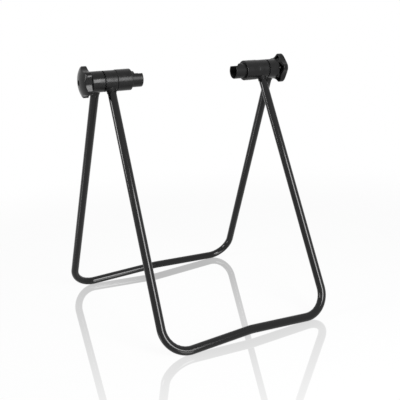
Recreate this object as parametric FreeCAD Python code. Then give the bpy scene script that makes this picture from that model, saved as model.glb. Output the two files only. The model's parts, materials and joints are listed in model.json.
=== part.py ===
"""Folding display stand for a bicycle's rear wheel.

Two U-shaped tube frames cross at a pair of hubs. Each hub has toothed collars,
a sleeve with a sliding axle cup, and a knob on a screw that moves the cup.
X runs along the hubs, -Y is the front, +Z is up, and the floor is Z = 0.
"""

import FreeCAD, Part
import math
import os
from FreeCAD import Vector

# Stance
hub_height = 370.5          # hub axis above the floor
front_lean = 23.0           # front frame from the vertical, degrees
rear_lean = 28.7            # rear frame from the vertical, degrees

# Frame tubes
tube_od = 12.7
tube_wall = 1.2
corner_radius = 37.0        # centre line of the two bottom bends
bar_slope = 3.0             # bottom bar rises towards its middle, degrees
bar_bend_radius = 120.0     # centre line of the bend in the bar's middle
front_leg_x = 127.3         # front leg on the hub axis, from the middle of the stand
front_splay = 1.15          # outward slope of the front legs, degrees
rear_splay = 1.7            # outward slope of the rear legs, degrees

# Collars and their teeth
collar_radius = 15.0
collar_chamfer = 0.8
inner_collar_width = 17.2
outer_collar_width = 16.7
rear_leg_inset = 0.65       # rear leg inboard of its collar's middle
tooth_count = 24
tooth_height = 1.5
tooth_depth = 3.2           # radial length of a tooth
tooth_land = 0.4            # flat tip of a tooth at the rim
tooth_gap = 0.7             # between the tips of facing teeth

# Leg sockets under the collars
leg_top = 10.6              # tube end from the hub axis
boss_radius = 7.0
boss_end = 18.5
leg_fit = 0.05              # tube in its socket, radial
leg_pin_radius = 1.2
leg_pin_place = 12.8        # pin from the hub axis
leg_pin_reach = 7.2         # half of the pin's length

# Hinge bush, the steel pivot of the outer collar
bush_radius = 7.0
bush_wall = 2.95
bush_flange_radius = 9.2
bush_flange_thickness = 1.5
bush_proud = 0.8            # bush end beyond the outer collar
hinge_fit = 0.05            # outer collar on the bush, radial
collar_recess_radius = 9.6
collar_recess_depth = 3.6
flat_washer_thickness = 1.0
ring_thickness = 1.2
ring_radius = 8.8
ring_opening = 6.0          # between the ring's ends
ring_groove_depth = 0.8
stack_gap = 0.1             # between washer and ring
washer_rim_gap = 0.5        # flat washer in the outer collar's recess, radial

# Sleeve
sleeve_radius = 15.5
sleeve_length = 22.3        # mouth to collar
mouth_chamfer = 0.8
sleeve_floor = 2.0          # wall between the sleeve's bore and the collar
spigot_radius = 9.2
spigot_length = 2.5
spigot_bore_radius = 6.6
spigot_fit = 0.05

# Axle cup
cup_radius = 11.8
cup_wall = 1.2
cup_fit = 0.1               # cup in the sleeve, radial
cup_depth = 13.0            # room for the axle end
cup_web = 2.0
cup_edge = 0.5
cup_slot_width = 17.4
cup_slot_length = 12.5
left_cup_tip = 79.0         # cup face from the middle of the stand, as photographed
right_cup_tip = 78.2
cup_travel = 12.0           # full travel of each cup
cup_end_gap = 0.5           # screw end to cup web, and cup back to sleeve floor

# Key that stops the cup from turning
key_width = 4.0
key_height = 1.6
key_root = 1.0              # sunk in the sleeve's wall
key_start = 2.6             # from the sleeve's mouth
key_length = 6.0
key_gap = 0.3

# Screw spindle and its nut
screw_radius = 4.0
screw_pitch = 1.25
thread_depth = 0.6
thread_fit = 0.05
journal_fit = 0.05
screw_chamfer = 1.0
spindle_flange_radius = 6.0
spindle_flange_thickness = 2.0
end_play = 0.3              # each end of the spindle's journal
nut_flats = 13.0
nut_thickness = 6.5
nut_fit = 0.05
nut_corner_angle = 30.0
screw_bore_gap = 0.6        # screw in the cup's clearance bore, radial

# Knob
knob_lobes = 5
knob_tip_radius = 23.3
knob_waist_radius = 18.3
lobe_radius = 6.5
knob_rim = 7.6              # rim thickness at the lobe tips
knob_dome = 6.6             # height of the dome above the rim
knob_gap = 2.6              # knob's back from the outer collar
knob_wall = 2.6
knob_pocket_depth = 5.6
knob_edge = 1.6
knob_back_edge = 0.8
knob_hub_radius = 8.5
left_knob_turned = 60.0     # a lobe's direction from +Z towards the front, degrees
right_knob_turned = 15.0
recess_radius = 3.9
recess_depth = 3.8

# Square drive, thrust washer and knob screw
square_side = 5.6
square_length = 6.8
square_fit = 0.05
thrust_washer_radius = 9.0
thrust_washer_thickness = 1.6
washer_bore_gap = 0.3
knob_screw_radius = 2.0
knob_screw_length = 10.0
knob_screw_head_radius = 3.6
knob_screw_head_height = 2.4
knob_screw_head_edge = 0.3
knob_screw_gap = 0.1
screw_hole_spare = 1.0      # spindle's hole past the knob screw's end
hex_key_flats = 2.5
hex_key_depth = 1.4

# Cutting tools
cutter_run = 1.0            # past the face that is cut
groove_run = 0.2            # tooth groove cutters, past the tips
edge_search = 0.1           # either side of a flat face whose edges are rounded

# Places worked out from the sizes above
tube_r = tube_od / 2.0
floor_reach = hub_height - tube_r
hub_y = -floor_reach * (math.tan(math.radians(rear_lean)) - math.tan(math.radians(front_lean))) / 2.0
seam = front_leg_x - inner_collar_width / 2.0
mouth = seam - sleeve_length
inner_root = front_leg_x + inner_collar_width / 2.0
inner_tip = inner_root + tooth_height
outer_tip = inner_tip + tooth_gap
outer_root = outer_tip + tooth_height
outer_end = outer_root + outer_collar_width
rear_leg_x = outer_root + outer_collar_width / 2.0 - rear_leg_inset
spigot_end = seam + spigot_length
bush_end = outer_end + bush_proud
spindle_flange_face = spigot_end - end_play
spindle_flange_back = spindle_flange_face - spindle_flange_thickness
washer_start = bush_end + end_play
washer_end = washer_start + thrust_washer_thickness
knob_back = outer_end + knob_gap
knob_apex = knob_back + knob_rim + knob_dome
square_end = washer_end + square_length
recess_floor = knob_apex - recess_depth
cup_length = cup_depth + cup_web + cup_end_gap + cup_travel + nut_thickness
cup_back_limit = min(spindle_flange_back, seam - sleeve_floor) - cup_end_gap
cup_tip_limit = cup_back_limit - cup_length
screw_end = cup_tip_limit + cup_depth + cup_web + cup_end_gap
ring_start = outer_end - collar_recess_depth + flat_washer_thickness + 2 * stack_gap
ring_groove_radius = bush_radius - ring_groove_depth

sides = {"left": -1, "right": 1}
nodes = {}


def on_axis(side, a):
    """Point on the hub axis, a from the middle of the stand."""
    return Vector(side * a, hub_y, hub_height)


def rod(side, start, end, radius):
    """Round bar on the hub axis between two distances from the middle."""
    return Part.makeCylinder(radius, end - start, on_axis(side, start), Vector(side, 0, 0))


def turned(side, outline):
    """Solid turned about the hub axis from a closed outline of (distance, radius) points."""
    points = [Vector(side * a, hub_y, hub_height + r) for a, r in outline]
    points.append(points[0])
    face = Part.Face(Part.makePolygon(points))
    solid = face.revolve(on_axis(side, 0), Vector(1, 0, 0), 360)
    if solid.Volume < 0:
        solid.reverse()
    return solid


def hub_point(side, a, angle, radius, across=0.0):
    """Point at a radius and angle (from +Z towards the front), and a step along the turn."""
    turn = math.radians(angle)
    y = -math.sin(turn) * radius - math.cos(turn) * across
    z = math.cos(turn) * radius - math.sin(turn) * across
    return on_axis(side, a) + Vector(0, y, z)


def prism(side, start, end, wire_at):
    """Straight prism along the hub axis from the wire that wire_at(distance) gives."""
    face = Part.Face(wire_at(start))
    return face.extrude(Vector(side * (end - start), 0, 0))


def hexagon(side, a, flats):
    """Regular hexagon across the hub axis, corners up and down."""
    corner = flats / math.sqrt(3.0)
    points = [hub_point(side, a, 60 * i, corner) for i in range(7)]
    return Part.makePolygon(points)


def square(side, a, width):
    """Square across the hub axis."""
    points = [hub_point(side, a, 45 + 90 * i, width / math.sqrt(2.0)) for i in range(5)]
    return Part.makePolygon(points)


class Frame:
    """One bent U of tube: its plane leans by lean, to the front (-1) or the rear (+1)."""

    def __init__(self, lean, towards, leg_x, splay):
        self.lean = math.radians(lean)
        self.towards = towards
        self.leg_x = leg_x
        self.splay = math.radians(splay)
        self.slope = math.radians(bar_slope)
        lowest = floor_reach / math.cos(self.lean)
        self.corner_v = lowest - corner_radius
        self.corner_u = (leg_x + self.corner_v * math.tan(self.splay)
                         - corner_radius / math.cos(self.splay))

    def point(self, u, v):
        """Point of the frame's plane: u along X, v down the plane from the hub axis."""
        y = hub_y + self.towards * v * math.sin(self.lean)
        return Vector(u, y, hub_height - v * math.cos(self.lean))

    def leg_direction(self, side):
        """Unit vector down a leg."""
        down = math.cos(self.splay)
        return self.point(side * math.sin(self.splay), down) - self.point(0, 0)

    def on_leg(self, side, s):
        """Point on a leg's centre line, s from the hub axis."""
        return self.point(side * self.leg_x, 0) + self.leg_direction(side) * s

    def corner(self, side, angle):
        """Point on a bottom bend, angle from straight down, outwards positive."""
        u = self.corner_u + corner_radius * math.sin(angle)
        return self.point(side * u, self.corner_v + corner_radius * math.cos(angle))

    def centre_line(self):
        """Leg, bend, half bar, middle bend, half bar, bend, leg as one wire."""
        into_bar = -self.slope
        into_leg = math.pi / 2 + self.splay
        half_bend = bar_bend_radius * math.sin(self.slope)
        bar_v = (self.corner_v + corner_radius / math.cos(self.slope)
                 - self.corner_u * math.tan(self.slope))
        middle_v = bar_v + bar_bend_radius / math.cos(self.slope) - bar_bend_radius

        def bend_end(side):
            return self.point(side * half_bend, bar_v + half_bend * math.tan(self.slope))

        def bottom_bend(side):
            mid = (into_bar + into_leg) / 2
            return Part.Arc(self.corner(side, into_leg), self.corner(side, mid),
                            self.corner(side, into_bar)).toShape()

        def half_bar(side):
            return Part.LineSegment(self.corner(side, into_bar), bend_end(side)).toShape()

        def leg(side):
            return Part.LineSegment(self.on_leg(side, leg_top), self.corner(side, into_leg)).toShape()

        middle = Part.Arc(bend_end(-1), self.point(0, middle_v), bend_end(1)).toShape()
        edges = [leg(-1), bottom_bend(-1), half_bar(-1), middle, half_bar(1), bottom_bend(1), leg(1)]
        return Part.Wire(Part.sortEdges(edges)[0])

    def pipe(self, radius):
        """Solid bar of a radius swept along the centre line."""
        start = self.on_leg(-1, leg_top)
        ring = Part.Wire(Part.makeCircle(radius, start, self.leg_direction(-1)))
        return self.centre_line().makePipeShell([ring], True, False)

    def pin(self, side):
        """Cross pin through a leg's top, inside the collar, along X."""
        start = self.on_leg(side, leg_pin_place) - Vector(leg_pin_reach, 0, 0)
        return Part.makeCylinder(leg_pin_radius, 2 * leg_pin_reach, start, Vector(1, 0, 0))

    def tube(self):
        """The bent tube with its pin holes."""
        wall = self.pipe(tube_r).cut(self.pipe(tube_r - tube_wall))
        return wall.cut([self.pin(side) for side in (-1, 1)])

    def boss(self, side):
        """Short round boss on the leg's line, under the collar."""
        return Part.makeCylinder(boss_radius, boss_end, self.on_leg(side, 0),
                                 self.leg_direction(side))

    def socket(self, side):
        """Room for the tube and its pin."""
        down = self.leg_direction(side)
        hole = Part.makeCylinder(tube_r + leg_fit, boss_end, self.on_leg(side, leg_top), down)
        return hole.fuse(self.pin(side))


front = Frame(front_lean, -1, front_leg_x, front_splay)
rear = Frame(rear_lean, 1, rear_leg_x, rear_splay)


def drum(side, start, end, radius, start_chamfer, end_chamfer):
    """Round block with its outer edges broken; a chamfer of 0 leaves a sharp edge."""
    outline = [(start, 0), (start, radius - start_chamfer)]
    if start_chamfer > 0:
        outline.append((start + start_chamfer, radius))
    if end_chamfer > 0:
        outline.append((end - end_chamfer, radius))
    outline += [(end, radius - end_chamfer), (end, 0)]
    return turned(side, outline)


def toothed_face(side, root, tip, first_groove):
    """Ring of radial teeth that stands from root to tip, with V grooves from first_groove."""
    inner = collar_radius - tooth_depth
    sunk = root - math.copysign(tooth_height, tip - root)
    low = min(sunk, tip)
    high = max(sunk, tip)
    ring = rod(side, low, high, collar_radius).cut(rod(side, low, high, inner))
    pitch = 360.0 / tooth_count
    half_groove = math.pi * collar_radius / tooth_count - tooth_land / 2
    past_tip = tip + math.copysign(groove_run, tip - root)
    half_open = half_groove * (1 + groove_run / tooth_height)
    groove_inner = inner - cutter_run
    groove_length = tooth_depth + 3 * cutter_run
    grooves = []
    for i in range(tooth_count):
        angle = first_groove + i * pitch
        corners = [hub_point(side, past_tip, angle, groove_inner, half_open),
                   hub_point(side, past_tip, angle, groove_inner, -half_open),
                   hub_point(side, root, angle, groove_inner)]
        corners.append(corners[0])
        along = hub_point(side, 0, angle, groove_length) - on_axis(side, 0)
        grooves.append(Part.Face(Part.makePolygon(corners)).extrude(along))
    return ring.cut(grooves)


def inner_collar(side):
    """Collar on a front leg: bush bore, sleeve recess, leg boss and a toothed outer face."""
    body = drum(side, seam, inner_root, collar_radius, collar_chamfer, 0)
    body = body.fuse([front.boss(side), toothed_face(side, inner_root, inner_tip, 0.0)])
    body = body.cut([rod(side, seam - cutter_run, inner_tip + cutter_run, bush_radius),
                     rod(side, seam - cutter_run, spigot_end + bush_flange_thickness,
                         spigot_radius + spigot_fit),
                     front.socket(side)])
    return body.removeSplitter()


def outer_collar(side):
    """Collar on a rear leg: it turns on the bush and has a toothed inner face."""
    half_pitch = 180.0 / tooth_count
    body = drum(side, outer_root, outer_end, collar_radius, 0, collar_chamfer)
    body = body.fuse([rear.boss(side), toothed_face(side, outer_root, outer_tip, half_pitch)])
    body = body.cut([rod(side, outer_tip - cutter_run, outer_end + cutter_run, bush_radius + hinge_fit),
                     rod(side, outer_end - collar_recess_depth, outer_end + cutter_run,
                         collar_recess_radius),
                     rear.socket(side)])
    return body.removeSplitter()


def hinge_bush(side):
    """Flanged steel tube, pressed into the inner collar, with a groove for the retaining ring."""
    bore = bush_radius - bush_wall
    flange_end = spigot_end + bush_flange_thickness
    groove_end = ring_start + ring_thickness + stack_gap
    return turned(side, [(spigot_end, bore), (spigot_end, bush_flange_radius),
                         (flange_end, bush_flange_radius), (flange_end, bush_radius),
                         (ring_start, bush_radius), (ring_start, ring_groove_radius),
                         (groove_end, ring_groove_radius), (groove_end, bush_radius),
                         (bush_end, bush_radius), (bush_end, bore)])


def flat_washer(side):
    """Washer in the outer collar's recess, under the retaining ring."""
    start = outer_end - collar_recess_depth + stack_gap
    end = start + flat_washer_thickness
    return rod(side, start, end, collar_recess_radius - washer_rim_gap).cut(
        rod(side, start, end, bush_radius + hinge_fit))


def retaining_ring(side):
    """Open spring ring in the bush's groove."""
    end = ring_start + ring_thickness
    ring = rod(side, ring_start, end, ring_radius).cut(rod(side, ring_start, end, ring_groove_radius))
    corner = on_axis(side, ring_start if side > 0 else end) + Vector(0, -ring_opening / 2, 0)
    return ring.cut(Part.makeBox(ring_thickness, ring_opening, ring_radius + cutter_run, corner))


def sleeve(side):
    """Barrel that guides the cup, with a key, a floor and a spigot into the collar."""
    bore = cup_radius + cup_fit
    body = turned(side, [(mouth, bore), (mouth, sleeve_radius - mouth_chamfer),
                         (mouth + mouth_chamfer, sleeve_radius),
                         (seam - collar_chamfer / 2, sleeve_radius),
                         (seam, sleeve_radius - collar_chamfer / 2), (seam, spigot_radius),
                         (spigot_end, spigot_radius), (spigot_end, spigot_bore_radius),
                         (seam - sleeve_floor, spigot_bore_radius), (seam - sleeve_floor, bore)])
    start = mouth + key_start
    low = on_axis(side, start if side > 0 else start + key_length)
    key = Part.makeBox(key_length, key_width, key_height + cup_fit + key_root,
                       low + Vector(0, -key_width / 2, -bore - key_root))
    return body.fuse(key).removeSplitter()


def axle_cup(side, tip):
    """Sliding cup: open nose with a slot in its top, a web, and a nut pocket at the back."""
    back = tip + cup_length
    web = tip + cup_depth
    body = drum(side, tip, back, cup_radius, cup_edge, cup_edge)
    slot_low = on_axis(side, tip - cutter_run if side > 0 else tip + cup_slot_length)
    slot = Part.makeBox(cup_slot_length + cutter_run, cup_slot_width, cup_radius + cutter_run,
                        slot_low + Vector(0, -cup_slot_width / 2, 0))
    groove_start = mouth + key_start - cup_end_gap - (cup_tip_limit - tip)
    groove_end = back + cutter_run
    groove_low = on_axis(side, groove_start if side > 0 else groove_end)
    groove_width = key_width + 2 * key_gap
    groove_depth = key_height + key_gap
    groove = Part.makeBox(groove_end - groove_start, groove_width, groove_depth + cutter_run,
                          groove_low + Vector(0, -groove_width / 2, -cup_radius - cutter_run))
    pocket = prism(side, back - nut_thickness, back + cutter_run,
                   lambda a: hexagon(side, a, nut_flats + 2 * nut_fit))
    return body.cut([rod(side, tip - cutter_run, web, cup_radius - cup_wall), slot, groove, pocket,
                     rod(side, web + cup_web, back, screw_radius + screw_bore_gap)])


def cup_nut(side, tip):
    """Hexagon nut in the cup's back."""
    back = tip + cup_length
    start = back - nut_thickness
    block = prism(side, start, back, lambda a: hexagon(side, a, nut_flats))
    corner = nut_flats / math.sqrt(3.0)
    drop = (corner - nut_flats / 2) * math.tan(math.radians(nut_corner_angle))
    turned_blank = turned(side, [(start, 0), (start, nut_flats / 2), (start + drop, corner),
                                 (back - drop, corner), (back, nut_flats / 2), (back, 0)])
    bore = rod(side, start - cutter_run, back + cutter_run, screw_radius + thread_fit)
    return block.common(turned_blank).cut(bore)


def spindle(side):
    """Screw with a thrust flange, a plain journal and a square end for the knob."""
    root = screw_radius - thread_depth
    outline = [(screw_end, 0), (screw_end, screw_radius - screw_chamfer)]
    start = screw_end + screw_chamfer
    outline.append((start, screw_radius))
    turns = int((spindle_flange_back - start) / screw_pitch)
    for i in range(turns):
        outline.append((start + (i + 0.5) * screw_pitch, root))
        outline.append((start + (i + 1) * screw_pitch, screw_radius))
    outline += [(spindle_flange_back, screw_radius), (spindle_flange_back, spindle_flange_radius),
                (spindle_flange_face, spindle_flange_radius),
                (spindle_flange_face, bush_radius - bush_wall - journal_fit),
                (washer_end, bush_radius - bush_wall - journal_fit), (washer_end, 0)]
    drive = prism(side, washer_end, square_end, lambda a: square(side, a, square_side))
    hole_end = recess_floor - knob_screw_length - screw_hole_spare
    hole = rod(side, hole_end, square_end + cutter_run, knob_screw_radius)
    return turned(side, outline).fuse(drive).cut(hole)


def lobed(side, a, turned_by, inset=0.0):
    """Closed outline of round lobes joined by hollow arcs, all tangent, at a distance a."""
    half = math.pi / knob_lobes
    lobe = lobe_radius - inset
    waist = knob_waist_radius - inset
    centre = knob_tip_radius - lobe_radius
    k = math.cos(half)
    hollow = ((lobe ** 2 - centre ** 2 - waist ** 2 + 2 * centre * waist * k)
              / (2 * (waist - centre * k - lobe)))
    far = waist + hollow
    # the lobe's arc and the hollow's arc meet on the line between their centres
    share = lobe / (lobe + hollow)
    meet_x = centre + share * (far * k - centre)
    meet_y = share * far * math.sin(half)
    meet_radius = math.hypot(meet_x, meet_y)
    meet_angle = math.degrees(math.atan2(meet_y, meet_x))
    step = 360.0 / knob_lobes
    edges = []
    for i in range(knob_lobes):
        angle = turned_by + i * step
        before = hub_point(side, a, angle - meet_angle, meet_radius)
        after = hub_point(side, a, angle + meet_angle, meet_radius)
        edges.append(Part.Arc(before, hub_point(side, a, angle, centre + lobe), after).toShape())
        following = hub_point(side, a, angle + step - meet_angle, meet_radius)
        edges.append(Part.Arc(after, hub_point(side, a, angle + step / 2, waist), following).toShape())
    return Part.Wire(Part.sortEdges(edges)[0])


def knob(side, turned_by):
    """Lobed knob: domed face, hollow back, hub with a square socket and a screw recess."""
    dome_radius = (knob_tip_radius ** 2 + knob_dome ** 2) / (2 * knob_dome)
    ball = Part.makeSphere(dome_radius, on_axis(side, knob_apex - dome_radius))
    block = prism(side, knob_back, knob_apex + cutter_run, lambda a: lobed(side, a, turned_by))
    block = block.common(ball)

    def edges_beyond(shape, low, high):
        found = []
        for edge in shape.Edges:
            a = abs(edge.CenterOfMass.x)
            if low < a < high:
                found.append(edge)
        return found

    rim = knob_back + knob_rim
    block = block.makeFillet(knob_edge, edges_beyond(block, rim - edge_search, knob_apex))
    block = block.makeFillet(knob_back_edge,
                             edges_beyond(block, knob_back - edge_search, knob_back + edge_search))
    pocket = prism(side, knob_back - cutter_run, knob_back + knob_pocket_depth,
                   lambda a: lobed(side, a, turned_by, knob_wall))
    hub = rod(side, washer_end, recess_floor, knob_hub_radius)
    socket = prism(side, washer_end - cutter_run, square_end + square_fit,
                   lambda a: square(side, a, square_side + 2 * square_fit))
    return block.cut(pocket).fuse(hub).cut([
        socket, rod(side, recess_floor, knob_apex + cutter_run, recess_radius),
        rod(side, washer_end, knob_apex, knob_screw_radius + knob_screw_gap)]).removeSplitter()


def thrust_washer(side):
    """Washer that rides against the knob's hub."""
    bore = bush_radius - bush_wall + washer_bore_gap
    return rod(side, washer_start, washer_end, thrust_washer_radius).cut(
        rod(side, washer_start, washer_end, bore))


def knob_screw(side):
    """Socket screw in the knob's recess, into the end of the spindle."""
    head_top = recess_floor + knob_screw_head_height
    shank = rod(side, recess_floor - knob_screw_length, recess_floor, knob_screw_radius)
    head = drum(side, recess_floor, head_top, knob_screw_head_radius, 0, knob_screw_head_edge)
    key = prism(side, head_top - hex_key_depth, head_top + cutter_run,
                lambda a: hexagon(side, a, hex_key_flats))
    return head.fuse(shank).cut(key)


nodes["front_frame_tube"] = front.tube()
nodes["rear_frame_tube"] = rear.tube()
nodes["front_leg_pins"] = Part.makeCompound([front.pin(side) for side in (-1, 1)])
nodes["rear_leg_pins"] = Part.makeCompound([rear.pin(side) for side in (-1, 1)])
for name, side in sides.items():
    tip = left_cup_tip if side < 0 else right_cup_tip
    turned_by = left_knob_turned if side < 0 else right_knob_turned
    nodes[name + "_inner_collar"] = inner_collar(side)
    nodes[name + "_outer_collar"] = outer_collar(side)
    nodes[name + "_sleeve"] = sleeve(side)
    nodes[name + "_hinge_bush"] = hinge_bush(side)
    nodes[name + "_flat_washer"] = flat_washer(side)
    nodes[name + "_retaining_ring"] = retaining_ring(side)
    nodes[name + "_axle_cup"] = axle_cup(side, tip)
    nodes[name + "_cup_nut"] = cup_nut(side, tip)
    nodes[name + "_spindle"] = spindle(side)
    nodes[name + "_thrust_washer"] = thrust_washer(side)
    nodes[name + "_knob"] = knob(side, turned_by)
    nodes[name + "_knob_screw"] = knob_screw(side)

os.makedirs("parts", exist_ok=True)
for name, shape in nodes.items():
    shape.exportStep("parts/" + name + ".step")
    print(name, "solids", len(shape.Solids), "valid", shape.isValid(), "volume", round(shape.Volume, 2))
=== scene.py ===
"""Bicycle display stand: its visible pieces and finishes, the studio and the camera."""

import json
import math

import bpy
import numpy as np
from bpy.props import FloatProperty, FloatVectorProperty, IntProperty, PointerProperty
from mathutils import Matrix, Vector


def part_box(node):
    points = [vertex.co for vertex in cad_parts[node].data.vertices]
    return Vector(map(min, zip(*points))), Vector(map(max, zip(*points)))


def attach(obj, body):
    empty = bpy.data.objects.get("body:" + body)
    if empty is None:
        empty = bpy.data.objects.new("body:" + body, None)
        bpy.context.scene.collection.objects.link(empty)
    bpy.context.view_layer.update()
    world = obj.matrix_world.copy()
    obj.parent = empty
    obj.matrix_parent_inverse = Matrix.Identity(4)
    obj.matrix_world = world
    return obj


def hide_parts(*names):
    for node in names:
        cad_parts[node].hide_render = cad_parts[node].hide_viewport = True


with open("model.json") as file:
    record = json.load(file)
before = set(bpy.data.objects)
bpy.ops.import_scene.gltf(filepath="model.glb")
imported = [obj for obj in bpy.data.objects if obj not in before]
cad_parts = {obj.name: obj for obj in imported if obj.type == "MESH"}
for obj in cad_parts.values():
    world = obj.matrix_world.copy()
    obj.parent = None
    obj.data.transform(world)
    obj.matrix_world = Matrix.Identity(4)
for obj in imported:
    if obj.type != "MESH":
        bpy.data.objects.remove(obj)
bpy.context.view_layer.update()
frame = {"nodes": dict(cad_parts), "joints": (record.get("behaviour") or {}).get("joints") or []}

bl_info = {
    "name": "Bicycle Display Stand",
    "version": (1, 0, 0),
    "blender": (4, 5, 0),
    "location": "View3D > Sidebar > Display Stand",
    "description": "Builds the pieces, finishes and studio of a folding bicycle display stand",
    "category": "Object",
}

SIDES = {"left": -1.0, "right": 1.0}
HINGE = next(joint for joint in frame["joints"] if joint["name"] == "rear_frame_fold")
HUB_Y = HINGE["pos_m"][1]
HUB_Z = HINGE["pos_m"][2]


# Settings that a user would change

def length(name, description, value):
    """A size in metres."""
    return FloatProperty(name=name, description=description, default=value, min=0.0,
                         precision=5, unit="LENGTH")


def angle(name, description, degrees):
    """An angle, given here in degrees."""
    return FloatProperty(name=name, description=description, default=math.radians(degrees),
                         subtype="ANGLE", unit="ROTATION")


def share(name, description, value):
    """A share between 0 and 1."""
    return FloatProperty(name=name, description=description, default=value, min=0.0, max=1.0,
                         subtype="FACTOR")


def strength(name, description, value):
    """A light's strength, or another plain number."""
    return FloatProperty(name=name, description=description, default=value, min=0.0)


def count(name, description, value):
    """A whole number of like things."""
    return IntProperty(name=name, description=description, default=value, min=3)


def colour(name, description, value):
    """A surface colour."""
    return FloatVectorProperty(name=name, description=description, default=value, size=3,
                               min=0.0, max=1.0, subtype="COLOR")


def place(name, description, value):
    """A point in metres."""
    return FloatVectorProperty(name=name, description=description, default=value, size=3,
                               precision=5, subtype="TRANSLATION", unit="LENGTH")


class TubeSettings(bpy.types.PropertyGroup):
    """Sizes and finish of the two bent frame tubes."""

    radius: length("Tube radius", "Outside radius of the frame tubes", 0.00635)
    wall: length("Tube wall", "Wall thickness of the frame tubes", 0.0012)
    corner_radius: length("Corner radius", "Centre line radius of the two bottom bends", 0.037)
    bar_slope: angle("Bar slope", "Fall of each half of the bottom bar from its middle", 3.0)
    bar_bend: length("Middle bend", "Centre line radius of the bottom bar's middle bend", 0.120)
    front_lean: angle("Front lean", "Front frame's lean from upright", 23.0)
    rear_lean: angle("Rear lean", "Rear frame's lean from upright", 28.7)
    front_leg: length("Front leg", "Front leg from the middle of the stand at the hubs", 0.1273)
    rear_leg: length("Rear leg", "Rear leg from the middle of the stand at the hubs", 0.1473)
    front_splay: angle("Front splay", "Outward splay of the front legs", 1.15)
    rear_splay: angle("Rear splay", "Outward splay of the rear legs", 1.7)
    leg_top: length("Leg top", "Tube end from the hub axis", 0.0106)
    bend_flattening: share("Bend flattening", "Share by which a bend narrows in its plane", 0.025)
    bend_ripple: length("Bend ripple", "Height of the ripples on the inside of a bend", 0.00012)
    paint: colour("Paint", "Colour of the frame's paint", (0.0035, 0.0035, 0.0038))


class HubSettings(bpy.types.PropertyGroup):
    """Sizes and finish of the toothed collars and the sleeves."""

    radius: length("Collar radius", "Outside radius of the toothed collars", 0.015)
    edge: length("Collar edge", "Rounding of a collar's plain edge", 0.0008)
    tooth_count: count("Teeth", "Teeth on each collar", 24)
    tooth_height: length("Tooth height", "Height of the teeth", 0.0015)
    tooth_depth: length("Tooth ring", "Radial depth of the tooth ring", 0.0032)
    tooth_land: length("Tooth land", "Flat between two grooves at the rim", 0.0004)
    bore: length("Bore", "Radius of a collar's bore round the hinge bush", 0.0071)
    seat: length("Spigot seat", "Radius of the inner collar's recess for the spigot", 0.00925)
    seat_depth: length("Spigot seat depth", "Depth of the inner collar's recess", 0.0037)
    recess: length("Washer recess", "Radius of the outer collar's washer recess", 0.0096)
    recess_depth: length("Washer recess depth", "Depth of the outer collar's recess", 0.0036)
    boss_radius: length("Boss radius", "Radius of the boss round a leg's top", 0.007)
    boss_end: length("Boss end", "Boss end from the hub axis", 0.0185)
    boss_fillet: length("Boss fillet", "Fillet between a leg boss and its collar", 0.0006)
    sleeve_radius: length("Sleeve radius", "Outside radius of the sleeves", 0.0155)
    sleeve_mouth: length("Mouth edge", "Rounding of a sleeve's mouth", 0.0009)
    sleeve_floor: length("Sleeve floor", "Wall between a sleeve's bore and the collar", 0.002)
    spigot: length("Spigot", "Radius of the spigot that enters the collar", 0.0092)
    spigot_length: length("Spigot length", "Length of the spigot", 0.0025)
    spigot_bore: length("Spigot bore", "Radius of the spigot's bore", 0.0066)
    plastic: colour("Hub plastic", "Colour of the collars and sleeves", (0.0065, 0.0065, 0.0067))


class CupSettings(bpy.types.PropertyGroup):
    """Sizes and finish of the axle cups."""

    radius: length("Cup radius", "Outside radius of an axle cup", 0.0118)
    fit: length("Cup fit", "Radial gap between a cup and its sleeve", 0.0001)
    wall: length("Cup wall", "Wall of a cup's nose", 0.0012)
    depth: length("Cup depth", "Room for the axle end", 0.013)
    web: length("Cup web", "Thickness of the web behind the axle end", 0.002)
    edge: length("Cup edge", "Chamfer of a cup's outer edges", 0.0005)
    slot_width: length("Slot width", "Width of the slot in the top", 0.0174)
    slot_length: length("Slot length", "Length of the slot from the cup's tip", 0.0125)
    groove_start: length("Key groove", "Start of the key groove from the cup's tip", 0.0163)
    groove_width: length("Key groove width", "Width of the key groove", 0.0046)
    groove_depth: length("Key groove depth", "Depth of the key groove", 0.0019)
    key_width: length("Key width", "Width of the key in the sleeve", 0.004)
    key_height: length("Key height", "Height of the key from the sleeve's bore", 0.0017)
    key_root: length("Key root", "Key's root in the sleeve's wall", 0.001)
    key_start: length("Key start", "Key's start from the sleeve's mouth", 0.0026)
    key_length: length("Key length", "Length of the key", 0.006)
    bore: length("Screw bore", "Radius of the clearance bore for the screw", 0.0046)
    nut_flats: length("Nut pocket", "Width of the nut pocket across its flats", 0.0131)
    nut_depth: length("Nut pocket depth", "Depth of the nut pocket", 0.0065)
    softening: length("Edge softening", "Rounding of every edge of a cup", 0.00022)
    plastic: colour("Cup plastic", "Colour of the cups", (0.0065, 0.0065, 0.0067))


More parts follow.
